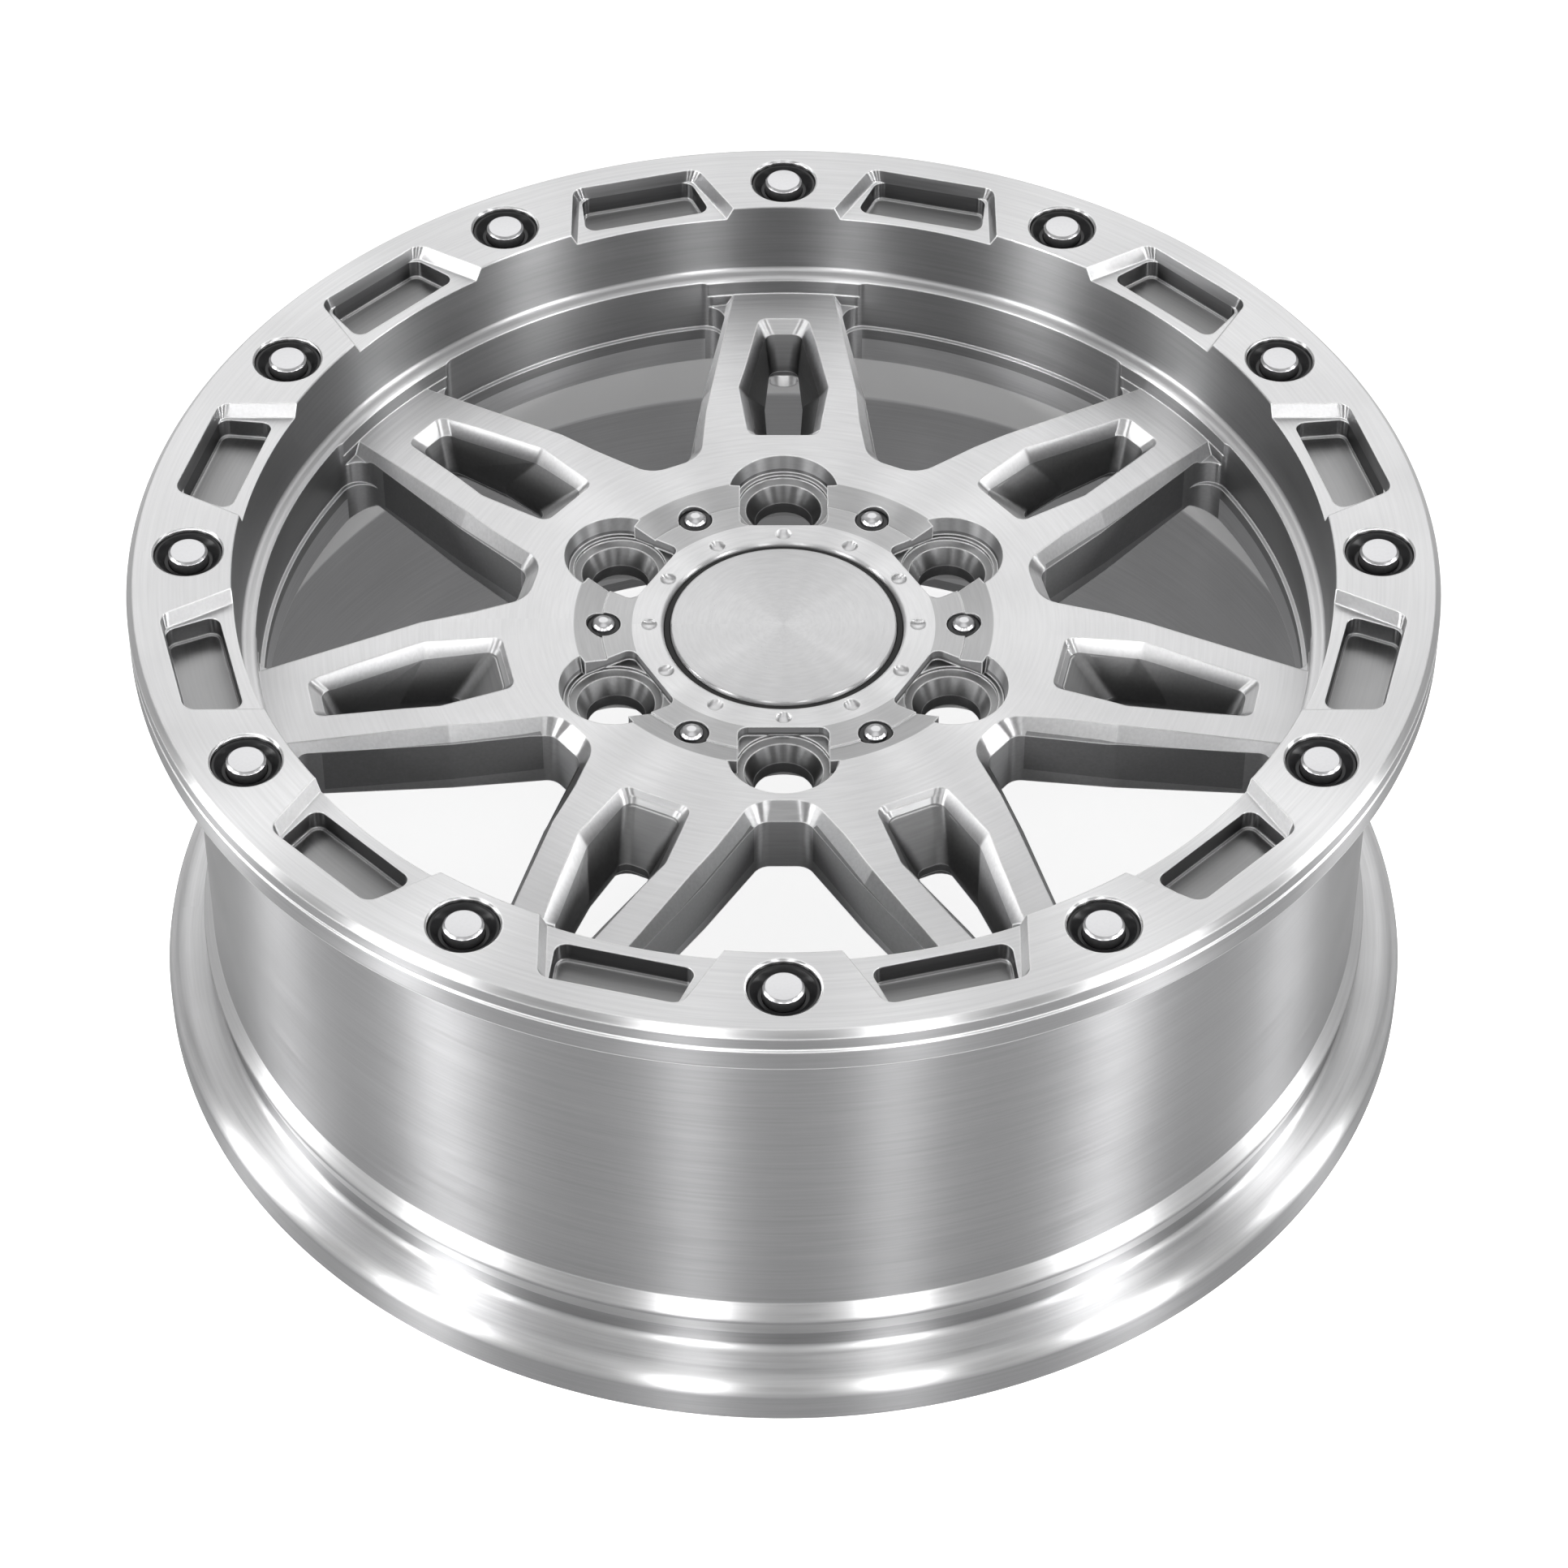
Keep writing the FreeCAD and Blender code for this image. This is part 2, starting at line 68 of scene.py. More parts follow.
def arc(centre, start, end, segments):
    """Points from start to end round a centre, the short way."""
    first = math.atan2(start.y - centre.y, start.x - centre.x)
    turn = math.atan2(end.y - centre.y, end.x - centre.x) - first
    turn = (turn + math.pi) % math.tau - math.pi
    size = (start - centre).length
    points = []
    for i in range(segments + 1):
        angle = first + turn * i / segments
        points.append(centre + size * Vector((math.cos(angle), math.sin(angle))))
    return points


def rounded(corners, segments=6):
    """Outline through (x, y, radius) corners, with an arc at each that has a radius."""
    points = []
    for i, (x, y, radius) in enumerate(corners):
        here = Vector((x, y))
        if radius == 0:
            points.append(here)
            continue
        back = (Vector(corners[i - 1][:2]) - here).normalized()
        ahead = (Vector(corners[(i + 1) % len(corners)][:2]) - here).normalized()
        half = back.angle(ahead) / 2
        reach = radius / math.tan(half)
        centre = here + (back + ahead).normalized() * (radius / math.sin(half))
        points += arc(centre, here + back * reach, here + ahead * reach, segments)
    return points


def mirrored(points):
    """Close a half outline, given on the +Y side, with its mirror image."""
    return points + [Vector((p.x, -p.y)) for p in reversed(points)]


def mirrored_corners(corners):
    """The same (x, y, radius) corners on the -Y side, in the order that closes the outline."""
    return [(x, -y, radius) for x, y, radius in reversed(corners)]


def draw(name, points, closed=True):
    """Draw a line through 3-D points in millimetres."""
    bpy.ops.object.select_all(action="DESELECT")
    bpy.ops.mesh.primitive_plane_add(size=MM)
    piece = bpy.context.object
    piece.name = name
    bpy.ops.object.mode_set(mode="EDIT")
    bpy.ops.mesh.merge(type="CENTER")
    bpy.ops.transform.translate(value=points[0] * MM)
    path = points + points[:1] if closed else points
    for here, there in zip(path, path[1:]):
        bpy.ops.mesh.extrude_region_move(TRANSFORM_OT_translate={"value": (there - here) * MM})
    bpy.ops.mesh.select_all(action="SELECT")
    bpy.ops.mesh.remove_doubles(threshold=0.004 * MM)
    bpy.ops.mesh.select_all(action="SELECT")
    return piece


def turned(name, section, steps, centre=0.0, closed=True):
    """Spin a section of (radius, height) points round an upright axis at x = centre."""
    points = [Vector((p[0] + centre, 0, p[1])) for p in section]
    piece = draw(name, points, closed)
    bpy.ops.mesh.spin(steps=steps, angle=math.tau, center=(centre * MM, 0, 0), axis=(0, 0, 1))
    bpy.ops.mesh.select_all(action="SELECT")
    bpy.ops.mesh.remove_doubles(threshold=0.004 * MM)
    bpy.ops.mesh.normals_make_consistent(inside=False)
    bpy.ops.object.mode_set(mode="OBJECT")
    return piece


def block(name, outline, low, high):
    """Upright block over a plan outline."""
    piece = draw(name, [Vector((p.x, p.y, low)) for p in outline])
    bpy.ops.mesh.edge_face_add()
    bpy.ops.mesh.extrude_region_move(TRANSFORM_OT_translate={"value": (0, 0, (high - low) * MM)})
    bpy.ops.mesh.select_all(action="SELECT")
    bpy.ops.mesh.normals_make_consistent(inside=False)
    bpy.ops.object.mode_set(mode="OBJECT")
    return piece


def tapered(name, lower, upper):
    """Block between two 3-D outlines that have the same number of points."""
    top = draw("top", upper)
    bpy.ops.object.mode_set(mode="OBJECT")
    piece = draw(name, lower)
    bpy.ops.object.mode_set(mode="OBJECT")
    choose(piece, top)
    bpy.ops.object.join()
    bpy.ops.object.mode_set(mode="EDIT")
    bpy.ops.mesh.select_all(action="SELECT")
    bpy.ops.mesh.bridge_edge_loops()
    bpy.ops.mesh.select_all(action="SELECT")
    bpy.ops.mesh.fill_holes(sides=0)
    bpy.ops.mesh.select_all(action="SELECT")
    bpy.ops.mesh.normals_make_consistent(inside=False)
    bpy.ops.object.mode_set(mode="OBJECT")
    return piece


# %% [markdown]
# ## Cutting
#
# A mill takes metal away. In Blender that is a Boolean: the cutter is drawn as a closed piece, a
# little longer than what it cuts, and taken out of the blank. The pattern round the axis could be
# an Array modifier, but plain turned copies, joined to one cutter, keep each cut a single step.

# %% Helpers for cutting
def boolean(piece, other, operation):
    """Apply a Boolean with another piece, which is used up."""
    modifier = piece.modifiers.new(operation, "BOOLEAN")
    modifier.object = other
    modifier.operation = operation
    modifier.solver = "EXACT"
    choose(piece)
    bpy.ops.object.modifier_apply(modifier=modifier.name)
    bpy.data.objects.remove(other)


def around(piece, count, first_angle):
    """Turn a piece to its first place round the axis and join its copies to it."""
    copies = []
    for i in range(count):
        copy = piece.copy()
        copy.data = piece.data.copy()
        bpy.context.scene.collection.objects.link(copy)
        copy.data.transform(Matrix.Rotation(math.radians(first_angle + 360 * i / count), 4, "Z"))
        copies.append(copy)
    bpy.data.objects.remove(piece)
    choose(*copies)
    bpy.ops.object.join()
    return copies[0]


def mill(piece, cutter, count, first_angle):
    """Cut evenly spaced copies of a cutter out of a piece."""
    boolean(piece, around(cutter, count, first_angle), "DIFFERENCE")


# %% [markdown]
# ## The lathe work
#
# Turned alone, the wheel would be a dish with a thick ring on top: rim, ring, spoke plate and
# hub are one section. Only its turned edges are rounded, by the small radii in the list, because
# a real edge catches a thin line of light.

# %% The turned blank
LATHE_STEPS = 288
FACE = 62.0
FLOOR = -144.0
PLATEAU = 29.0
COLLAR = 26.3
RIM = 235.8
HUB_BORE = 39.05
HUB_BORE_TOP = 11.5
CAP_BORE = 38.0
CAP_SEAT = 21.0
CAP_RECESS = 43.8
BARREL = 216.94
BEAD_SEAT = 218.3
BARREL_INSIDE = 208.94

section = [
    (HUB_BORE, 0.0, 0.8),
    (HUB_BORE, HUB_BORE_TOP, 0),
    (CAP_BORE, HUB_BORE_TOP, 0),
    (CAP_BORE, CAP_SEAT, 0),
    (CAP_RECESS, CAP_SEAT, 0),
    (CAP_RECESS, COLLAR, 1.6),
    (66.3, COLLAR, 0.25),
    (66.3, COLLAR - 0.8, 0.2),
    (76.4, PLATEAU, 0.4),
    (190.9, PLATEAU, 0),
    (190.9, 32.4, 2.6),
    (196.6, 32.4, 1.8),
    (198.2, FACE, 0.7),
    (RIM - 2.3, FACE, 0.4),
    (RIM, FACE - 2.5, 0.4),
    (RIM, 54.6, 0.15),
    (RIM - 0.7, 53.9, 0.1),
    (RIM, 53.2, 0.15),
    (RIM, 44.1, 1.6),
    (218.6, 44.1, 4.0),
    (BARREL, 25.1, 3.0),
    (BARREL, -98.0, 1.0),
    (220.94, -104.5, 3.0),
    (BEAD_SEAT, -113.0, 2.0),
    (BEAD_SEAT, -120.8, 3.0),
    (227.0, -122.0, 1.0),
    (RIM, -122.0, 7.0),
    (RIM, FLOOR + 5.0, 1.4),
    (RIM - 4.3, FLOOR, 1.0),
    (213.5, FLOOR, 1.6),
    (BARREL_INSIDE, -114.0, 6.0),
    (BARREL_INSIDE, -42.0, 10.0),
    (190.5, -6.0, 3.0),
    (180.0, 1.0, 3.0),
    (85.0, 1.0, 0),
    (84.0, 0.0, 0.3),
]
wheel = turned("wheel_body", rounded(section, 4), LATHE_STEPS)
print("turned blank:", len(wheel.data.polygons), "faces")

# %% [markdown]
# ## The spokes
#
# Seven spokes are what is left between seven windows. Each spoke is flat from the hub to a
# crease and slopes down a little from there to the rim, and its edges carry a wide bevel that
# narrows outwards. A window is drawn from the two spoke edges beside it: the same edge line,
# moved inwards by the bevel, gives the upright walls, and moved outwards it gives the bevel.

# %% Spoke edges and the window's outlines
SPOKES = 7
FIRST_SPOKE = 90.0
HALF_PITCH = math.pi / SPOKES
CREASE = 129.0
FACET_SLOPE = math.tan(math.radians(4.0))
RIM_END = 188.0
WINDOW_HUB_END = 93.3
HUB_BEVEL = 5.5
BEVEL_DEPTH = 5.5
BEVEL_DEPTH_RIM = 3.8
WALL_CORNER = 8.0


def window_point(radius, half):
    """A point on a spoke's edge, in the frame of the window beside it."""
    along = radius * math.cos(HALF_PITCH) + half * math.sin(HALF_PITCH)
    across = radius * math.sin(HALF_PITCH) - half * math.cos(HALF_PITCH)
    return Vector((along, across))


def window_side(share):
    """Hub corner, crease corner and a far point of a window's side; share 1 is the wall."""
    near = window_point(90.0, 31.0 + 4.6 * share)
    crease = window_point(CREASE, 28.0 + 3.2 * share)
    far = window_point(RIM_END, 18.5 + 3.2 * share)
    run = (crease - near) / (crease.x - near.x)
    hub = near + run * (WINDOW_HUB_END + HUB_BEVEL * share - near.x)
    return hub, crease, far


def window_walls(wall_radius):
    """Plan outline of a window's upright walls, with a rounded corner at the rim."""
    hub, crease, far = window_side(1.0)
    run = (far - crease).normalized()
    inward = Vector((run.y, -run.x))
    start = crease + inward * WALL_CORNER
    reach = wall_radius - WALL_CORNER
    middle = start.dot(run)
    along = -middle + math.sqrt(middle * middle - start.dot(start) + reach * reach)
    centre = start + run * along
    side = rounded([(hub.x, -hub.y, 0), (hub.x, hub.y, 6.5), (crease.x, crease.y, 9.0),
                    (far.x, far.y, 0)])
    corner = arc(centre, centre - inward * WALL_CORNER, centre.normalized() * wall_radius, 8)
    wall = arc(Vector((0, 0)), corner[-1], Vector((corner[-1].x, -corner[-1].y)), 24)
    half = side[1:-1] + corner
    return half + wall[1:-1] + [Vector((p.x, -p.y)) for p in reversed(half)]


def window_bevel(share, lift):
    """3-D outline of the bevel; it leans down towards the rim."""
    hub, crease, far = window_side(share)
    outer = crease + (far - crease) * 1.6
    outline = mirrored(rounded([(hub.x, -hub.y, 0), (hub.x, hub.y, 6.5 + HUB_BEVEL * (1 - share)),
                                (crease.x, crease.y, 9.0), (outer.x, outer.y, 0)])[1:])
    start = WINDOW_HUB_END + HUB_BEVEL
    hub_level = PLATEAU - BEVEL_DEPTH
    rim_level = PLATEAU - FACET_SLOPE * (RIM_END - CREASE) - BEVEL_DEPTH_RIM
    lean = (rim_level - hub_level) / (190.0 - start)
    return [Vector((p.x, p.y, hub_level + lift + lean * (p.x - start))) for p in outline]


# %% [markdown]
# ## Cutting the spokes free
#
# Four cutters, each repeated seven times, do the work: a wedge for the slope past the crease, two
# straight blocks for the window's walls and a tapered one for the bevels. The upper block is a
# little wider, so the window's walls don't lie in one face with the ring's. Cutters are trimmed
# to a cylinder where they must not touch the ring.

# %% Milling the spoke faces and the windows
WINDOW_ANGLE = FIRST_SPOKE + 180.0 / SPOKES
BEVEL_OVERLAP = 0.25


def kept_inside(cutter, radius):
    """Trim a cutter to a cylinder round the wheel's axis."""
    section = [(0, FLOOR), (radius, FLOOR), (radius, FACE + 30), (0, FACE + 30)]
    boolean(cutter, turned("trim", section, LATHE_STEPS, closed=False), "INTERSECT")
    return cutter


def wedge_end(x, low, half=50.0, high=50.0):
    """Upright rectangle across a spoke at distance x from the axis."""
    return [Vector((x, y, z)) for y, z in ((-half, low), (half, low), (half, high), (-half, high))]


reach = 80.0
slope_cutter = tapered("slope_cutter", wedge_end(CREASE, PLATEAU),
                       wedge_end(CREASE + reach, PLATEAU - reach * FACET_SLOPE))
mill(wheel, kept_inside(slope_cutter, 191.2), SPOKES, FIRST_SPOKE)
mill(wheel, block("window_cutter", window_walls(190.0), FLOOR - 5, 12.0), SPOKES, WINDOW_ANGLE)
mill(wheel, block("window_cutter", window_walls(191.6), 10.0, FACE + 5), SPOKES, WINDOW_ANGLE)
bevel_cutter = tapered(
    "bevel_cutter",
    window_bevel(1.0 + BEVEL_OVERLAP, -BEVEL_OVERLAP * BEVEL_DEPTH),
    window_bevel(-1.0, 2.0 * BEVEL_DEPTH),
)
mill(wheel, kept_inside(bevel_cutter, 191.0), SPOKES, WINDOW_ANGLE)
print("with windows:", len(wheel.data.polygons), "faces")

# %% [markdown]
# ## The pockets in the spokes
#
# Each spoke is split by a long six-sided pocket. It has its own bevel at the face, walls that
# taper inwards and a narrow slot right through at the bottom, with a wider relief behind it. The
# cutters overlap a little, so that no two of their faces fall together.

# %% Milling the spoke pockets
POCKET_HUB_END = 101.8
POCKET_RIM_END = 174.0
SLOT_TOP = 9.5
TAPER_REACH = 1.12
pocket_hub_level = PLATEAU - 4.0
pocket_rim_level = PLATEAU - FACET_SLOPE * (POCKET_RIM_END - CREASE) - 4.4
pocket_lean = (pocket_rim_level - pocket_hub_level) / (POCKET_RIM_END - POCKET_HUB_END)


def pocket_outline(share, lift):
    """3-D outline of a pocket: share 0 at the face, share 1 where its walls start."""
    side = 2.6 * share
    corners = [
        (POCKET_HUB_END + 2.8 * share, 13.4 - side, 4.0),
        (130.0, 16.4 - side, 6.0),
        (POCKET_RIM_END - 4.0 * share, 9.2 - side, 4.0),
    ]
    outline = rounded(corners + mirrored_corners(corners))
    return [Vector((p.x, p.y, pocket_hub_level + lift + pocket_lean * (p.x - POCKET_HUB_END)))
            for p in outline]


slot_corners = [(119.0, 6.2, 4.4), (141.0, 7.4, 6.0), (166.0, 5.4, 4.4)]
slot = rounded(slot_corners + mirrored_corners(slot_corners))
slot_edge = [Vector((p.x, p.y, SLOT_TOP)) for p in slot]
walls_top = pocket_outline(1.0, 0.0)
mill(wheel, tapered("pocket_bevel", pocket_outline(1.2, -0.8), pocket_outline(-1.0, 8.0)),
     SPOKES, FIRST_SPOKE)
mill(wheel, tapered("pocket_walls", slot_edge,
                    [low + (high - low) * TAPER_REACH for low, high in zip(slot_edge, walls_top)]),
     SPOKES, FIRST_SPOKE)
mill(wheel, block("slot_cutter", slot, FLOOR, SLOT_TOP + 2.0), SPOKES, FIRST_SPOKE)
SLOT_RELIEF_TOP = 6.0
relief_corners = [(115.5, 9.7, 7.9), (141.0, 10.9, 9.5), (169.5, 8.9, 7.9)]
relief = rounded(relief_corners + mirrored_corners(relief_corners))
mill(wheel, block("slot_relief", relief, FLOOR, SLOT_RELIEF_TOP), SPOKES, FIRST_SPOKE)
print("with spoke pockets:", len(wheel.data.polygons), "faces")

# %% [markdown]
# ## The hub
#
# Each of the six lug holes has a round pocket on the outside, a square clearance for the nut's
# socket on the inside, a shallow step and a bright conical seat. Behind the seat the hole flares
# out, so the floor shows through it. Small spherical dimples sit round the collar, and six flat
# seats take the screws.

# %% Milling the hub
LUGS = 6
FIRST_LUG = 30.0
LUG_CIRCLE = 69.85
LUG_FLOOR = 22.0
LUG_HALF = 16.3
LUG_SPLIT = 3.6


def lug_pocket(radius, height):
    """3-D outline of the round outer half of a lug pocket."""
    side = math.sqrt(radius * radius - LUG_SPLIT * LUG_SPLIT)
    start = Vector((LUG_SPLIT, side))
    tip = Vector((radius, 0))
    upper = arc(Vector((0, 0)), start, tip, 16)
    outline = upper + [Vector((p.x, -p.y)) for p in reversed(upper[:-1])]
    return [Vector((p.x + LUG_CIRCLE, p.y, height)) for p in outline]


socket_corners = [(LUG_CIRCLE - 16.0, LUG_HALF, 3.5), (LUG_CIRCLE + 6.0, LUG_HALF, 0)]
socket = rounded(socket_corners + mirrored_corners(socket_corners))
mill(wheel, tapered("lug_pocket", lug_pocket(18.8, LUG_FLOOR), lug_pocket(22.6, LUG_FLOOR + 16.5)),
     LUGS, FIRST_LUG)
mill(wheel, block("socket_clearance", socket, LUG_FLOOR + 0.02, FACE), LUGS, FIRST_LUG)
seat_section = [(0, -2), (20.1, -2), (11.6, 8.0), (10.75, 8.6), (10.75, 13.6), (14.2, 19.6),
                (15.4, 19.9), (17.0, 20.6), (17.0, LUG_FLOOR + 0.2), (0, LUG_FLOOR + 0.2)]
mill(wheel, turned("lug_seat", seat_section, 64, LUG_CIRCLE, closed=False), LUGS, FIRST_LUG)

DIMPLE_BALL = 4.2
DIMPLE_DEPTH = 1.3
DIMPLE_CIRCLE = 49.0
bpy.ops.object.select_all(action="DESELECT")
bpy.ops.mesh.primitive_uv_sphere_add(
    segments=32, ring_count=16, radius=DIMPLE_BALL * MM,
    location=(DIMPLE_CIRCLE * MM, 0, (COLLAR + DIMPLE_BALL - DIMPLE_DEPTH) * MM))
dimple = bpy.context.object
bpy.ops.object.transform_apply(location=True, rotation=True, scale=True)
mill(wheel, dimple, 12, 0.0)

SCREW_CIRCLE = 65.7
SCREW_SEAT = 24.8
SCREW_STEPS = 48
SCREWS = 6
screw_seat = [(0, SCREW_SEAT), (6.35, SCREW_SEAT), (6.35, 40), (0, 40)]
mill(wheel, turned("screw_seat", screw_seat, SCREW_STEPS, SCREW_CIRCLE, closed=False), SCREWS, 0.0)
print("with hub:", len(wheel.data.polygons), "faces")

# %% [markdown]
# ## The ring
#
# Twelve pockets and twelve bolt holes alternate round the ring. A pocket has two levels: a deep
# one with rounded corners and floor, and a shallow ledge that opens inwards and flares.

# %% Milling the ring
RING_COUNT = 12
RING_INNER = 198.2
RING_POCKET_ANGLE = 15.0
RING_POCKET_OUTER = 222.0
RING_POCKET_DEPTH = 13.0
LEDGE_HALF = 22.5
LEDGE_HALF_INNER = 29.0
LEDGE_DEPTH = 5.0
pocket_corners = [(202.0, 24.8, 4.0), (RING_POCKET_OUTER, 21.8, 4.0)]
deep = rounded(pocket_corners + mirrored_corners(pocket_corners), 8)
deep_cutter = block("ring_pocket", deep, FACE - RING_POCKET_DEPTH, FACE + 5)
choose(deep_cutter)
bpy.ops.object.mode_set(mode="EDIT")
bpy.ops.mesh.select_mode(type="EDGE")
bpy.ops.mesh.select_all(action="DESELECT")
bpy.ops.object.mode_set(mode="OBJECT")
for edge in deep_cutter.data.edges:
    ends = [deep_cutter.data.vertices[i].co.z for i in edge.vertices]
    edge.select = max(ends) < (FACE - RING_POCKET_DEPTH + 1.0) * MM
bpy.ops.object.mode_set(mode="EDIT")
bpy.ops.mesh.bevel(offset=1.6 * MM, segments=3)
bpy.ops.mesh.select_mode(type="VERT")
bpy.ops.object.mode_set(mode="OBJECT")
mill(wheel, deep_cutter, RING_COUNT, RING_POCKET_ANGLE)


def ledge(share, height):
    """3-D outline of a ring pocket's ledge, wider by its bevel as share grows."""
    inner = 178.0
    flare = (LEDGE_HALF_INNER - LEDGE_HALF) / (RING_POCKET_OUTER - RING_INNER)
    side = 2.4 * share
    corners = [
        (inner, LEDGE_HALF_INNER + flare * (RING_INNER - inner) + side, 0),
        (RING_POCKET_OUTER + 1.2 * share, LEDGE_HALF + side, 3.0 + side),
    ]
    outline = rounded(corners + mirrored_corners(corners), 8)
    return [Vector((p.x, p.y, height)) for p in outline]


mill(wheel, tapered("ledge_cutter", ledge(0.0, FACE - LEDGE_DEPTH), ledge(2.0, FACE + LEDGE_DEPTH)),
     RING_COUNT, RING_POCKET_ANGLE)

BOLT_CIRCLE = 214.3
BOLT_STEPS = 64
CUP_SEAT = 55.4
recess = [(0, CUP_SEAT), (12.5, CUP_SEAT), (12.5, FACE - 0.7), (14.0, FACE + 0.8),
          (0, FACE + 0.8)]
mill(wheel, turned("bolt_recess", recess, BOLT_STEPS, BOLT_CIRCLE, closed=False), RING_COUNT, 0.0)
print("with ring:", len(wheel.data.polygons), "faces")

# %% [markdown]
# ## The valve hole
#
# A tyre valve needs one hole through the barrel. The photo hides it, so it sits behind the spoke
# at the back. A cylinder laid on its side drills it.

# %% Drilling the valve hole
VALVE_RADIUS = 5.65
VALVE_HEIGHT = -30.0
bpy.ops.object.select_all(action="DESELECT")
bpy.ops.mesh.primitive_cylinder_add(
    vertices=48, radius=VALVE_RADIUS * MM, depth=60.0 * MM,
    location=(0, 215.0 * MM, VALVE_HEIGHT * MM), rotation=(math.radians(90), 0, 0))
valve_drill = bpy.context.object
bpy.ops.object.transform_apply(location=True, rotation=True, scale=True)
boolean(wheel, valve_drill, "DIFFERENCE")
print("with valve hole:", len(wheel.data.polygons), "faces")

# %% [markdown]
# ## Cleaning the mesh
#
# Where a cutter's face falls on one that is already cut, an exact Boolean leaves slivers and
# hairline slits. They could be picked off by hand, but the mesh is too big for that. Points a few
# micrometres apart are merged, slits are filled, and what has no area is dissolved, so that the
# blank is one closed mesh.

# %% Cleaning the wheel's mesh
SLIVER = 0.004
choose(wheel)
bpy.ops.object.mode_set(mode="EDIT")
bpy.ops.mesh.select_mode(type="VERT")
bpy.ops.mesh.select_all(action="SELECT")
bpy.ops.mesh.remove_doubles(threshold=SLIVER * MM)
bpy.ops.mesh.select_all(action="SELECT")
bpy.ops.mesh.dissolve_degenerate(threshold=SLIVER * MM)
bpy.ops.mesh.select_all(action="DESELECT")
bpy.ops.mesh.select_non_manifold(extend=False)
bpy.ops.mesh.fill_holes(sides=0)
bpy.ops.mesh.select_all(action="SELECT")
bpy.ops.mesh.dissolve_degenerate(threshold=SLIVER * MM)
bpy.ops.mesh.select_all(action="SELECT")
bpy.ops.mesh.delete_loose(use_verts=True, use_edges=True, use_faces=False)
bpy.ops.mesh.select_all(action="DESELECT")
bpy.ops.mesh.select_non_manifold(extend=False)
bpy.ops.object.mode_set(mode="OBJECT")
print("open edges:", sum(edge.select for edge in wheel.data.edges))

# %% [markdown]
# ## Shading the wheel
#
# Flat faces stay flat and turned faces are shaded smooth, by the angle between neighbours.
# Weighted normals keep the long cut faces from darkening at their borders.

# %% Finishing the wheel's mesh
choose(wheel)
bpy.ops.object.shade_smooth_by_angle(angle=math.radians(28))
weighted = wheel.modifiers.new("weighted", "WEIGHTED_NORMAL")
weighted.keep_sharp = True
bpy.ops.object.modifier_apply(modifier=weighted.name)
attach(wheel, "root")
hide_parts("forged_wheel")
print("finished wheel:", len(wheel.data.polygons), "faces")

# %% [markdown]
# ## Bolts, cups, screws and washers
#
# Each is a turned piece. The ring bolts are flat with a bevelled rim, and stand in dished black
# cups. The hub screws are smooth domes in thin black washers. Ready-made cylinders would have
# hard rims, so one section of each is drawn with its roundings, spun at the +X side, and copied
# round.

# %% Ring bolts and their cups
BOLT_RADIUS = 7.1
BOLT_TOP = FACE + 0.4
BOLT_FOOT = BOLT_TOP - 13.0
CUP_INSIDE = 7.25
CUP_OUTSIDE = 12.4
bolt_section = rounded([
    (0, BOLT_TOP, 0), (6.2, BOLT_TOP, 0.3), (BOLT_RADIUS, BOLT_TOP - 0.9, 0.4),
    (BOLT_RADIUS, BOLT_FOOT, 0.3), (0, BOLT_FOOT, 0)], 3)
bolt = turned("ring_bolt_heads", bolt_section, BOLT_STEPS, BOLT_CIRCLE, closed=False)
bolts = around(bolt, RING_COUNT, 0.0)

cup_section = rounded([
    (CUP_INSIDE, CUP_SEAT, 0), (CUP_INSIDE, 57.6, 0.3), (8.6, 57.4, 0.6), (11.2, 60.2, 0.6),
    (CUP_OUTSIDE, 60.4, 0.4), (CUP_OUTSIDE, CUP_SEAT, 0)], 4)
cups = around(turned("ring_bolt_black_cups", cup_section, BOLT_STEPS, BOLT_CIRCLE), RING_COUNT, 0.0)
print("bolts and cups:", len(bolts.data.polygons), len(cups.data.polygons), "faces")

# %% Hub screws and their washers
SCREW_RADIUS = 4.15
WASHER_TOP = SCREW_SEAT + 1.0
WASHER_INSIDE = 4.25
WASHER_OUTSIDE = 6.2
screw_section = rounded([
    (0, WASHER_TOP + 2.7, 0), (1.6, WASHER_TOP + 2.65, 1.2), (3.3, WASHER_TOP + 1.9, 1.2),
    (SCREW_RADIUS, WASHER_TOP + 0.8, 0.5), (SCREW_RADIUS, SCREW_SEAT, 0), (0, SCREW_SEAT, 0)], 4)
screw = turned("hub_screw_heads", screw_section, SCREW_STEPS, SCREW_CIRCLE, closed=False)
screws = around(screw, SCREWS, 0.0)

washer_section = rounded([
    (WASHER_INSIDE, SCREW_SEAT, 0), (WASHER_INSIDE, WASHER_TOP, 0.2),
    (WASHER_OUTSIDE, WASHER_TOP, 0.5), (WASHER_OUTSIDE, SCREW_SEAT, 0)], 4)
washer = turned("hub_screw_black_washers", washer_section, SCREW_STEPS, SCREW_CIRCLE)
washers = around(washer, SCREWS, 0.0)
print("screws and washers:", len(screws.data.polygons), len(washers.data.polygons), "faces")

# %% [markdown]
# ## The centre cap
#
# The cap is a flat turned disc with a soft edge, a short skirt below and a black seal round it.
# Both are spun like the rest, at 192 steps, because their edges show from near. Then all small
# pieces are shaded, put on the root body, and named for the nodes that they replace.

